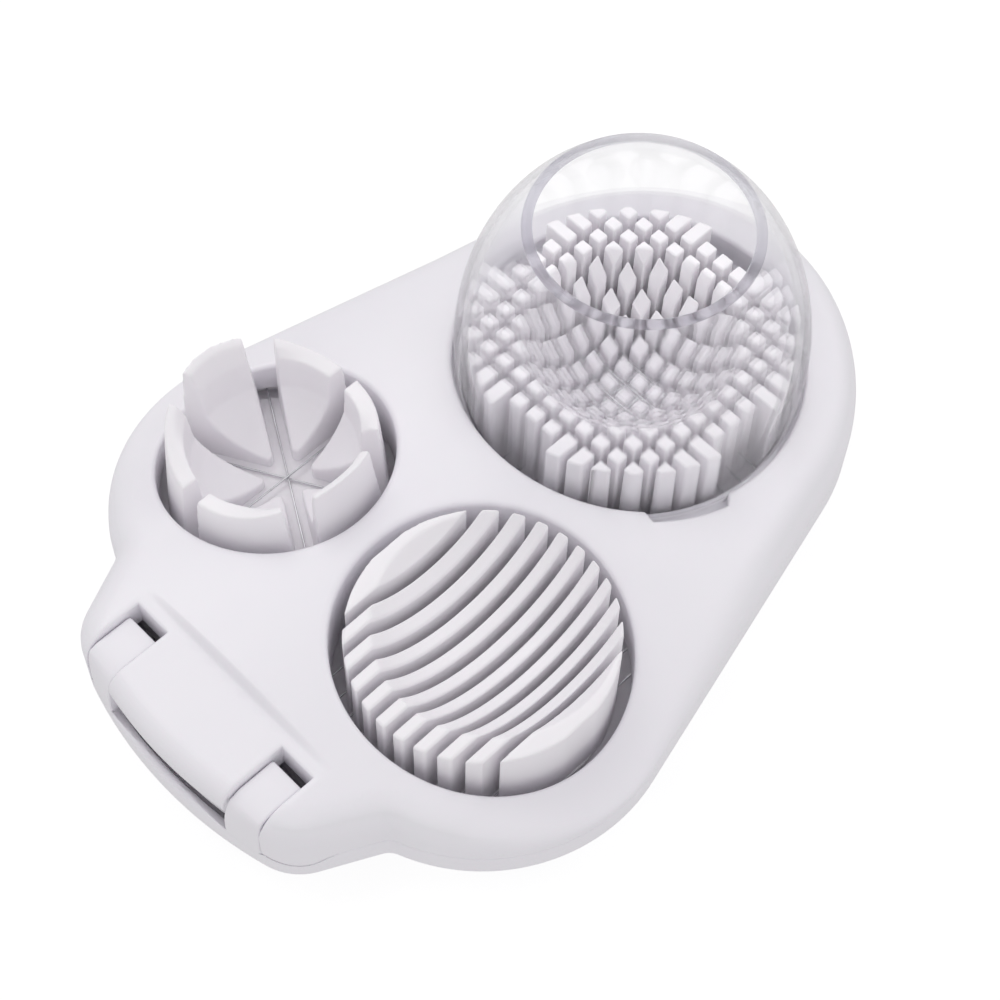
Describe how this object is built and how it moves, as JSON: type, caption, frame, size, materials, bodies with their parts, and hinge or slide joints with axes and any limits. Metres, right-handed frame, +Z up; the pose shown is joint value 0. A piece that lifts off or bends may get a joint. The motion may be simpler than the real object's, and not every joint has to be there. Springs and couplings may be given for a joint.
{
  "type": "egg slicer",
  "caption": "Hinged three-way egg cutter: wire slicer, six-way wedger and dicer with a clear guard dome over the pins, on one low tray.",
  "frame": {"origin": "centre of the bounding box in plan, on the surface that the rubber feet stand on", "axes": "+X from the hinge end towards the dicer end, +Y towards the wedger side, +Z up"},
  "size_m": [0.195, 0.1462, 0.072],
  "materials": {
    "body_plastic": "semi-gloss moulded ABS",
    "cradle_plastic": "semi-gloss moulded ABS",
    "carrier_plastic": "satin moulded ABS",
    "clear_plastic": "clear polished styrene acrylonitrile",
    "wire_steel": "bright drawn stainless wire",
    "steel": "bright zinc-plated steel",
    "foot_rubber": "soft matt rubber"
  },
  "bodies": {
    "tray": {"base_tray": "body_plastic", "wedge_cradle": "cradle_plastic", "slicer_cradle": "cradle_plastic", "dicer_pin_block": "cradle_plastic", "cradle_screws": "steel", "rubber_feet": "foot_rubber", "hinge_pin": "steel"},
    "cutting_frame": {"frame_cover": "body_plastic", "wire_carrier": "carrier_plastic", "carrier_screws": "steel", "wedge_wire_a": "wire_steel", "wedge_wire_b": "wire_steel", "wedge_wire_c": "wire_steel", "slicer_wires": "wire_steel", "dicer_wires_long": "wire_steel", "dicer_wires_cross": "wire_steel"},
    "dome": {"guard_dome": "clear_plastic"}
  },
  "joints": [
    {"name": "frame_hinge", "type": "hinge", "parent": "tray", "child": "cutting_frame", "pos_m": [-0.089, 0, 0.0155], "axis": [0, -1, 0], "range_deg": [0, 100]},
    {"name": "dome_lift", "type": "slide", "parent": "cutting_frame", "child": "dome", "axis": [0, 0, 1], "range_m": [0, 0.06]}
  ]
}
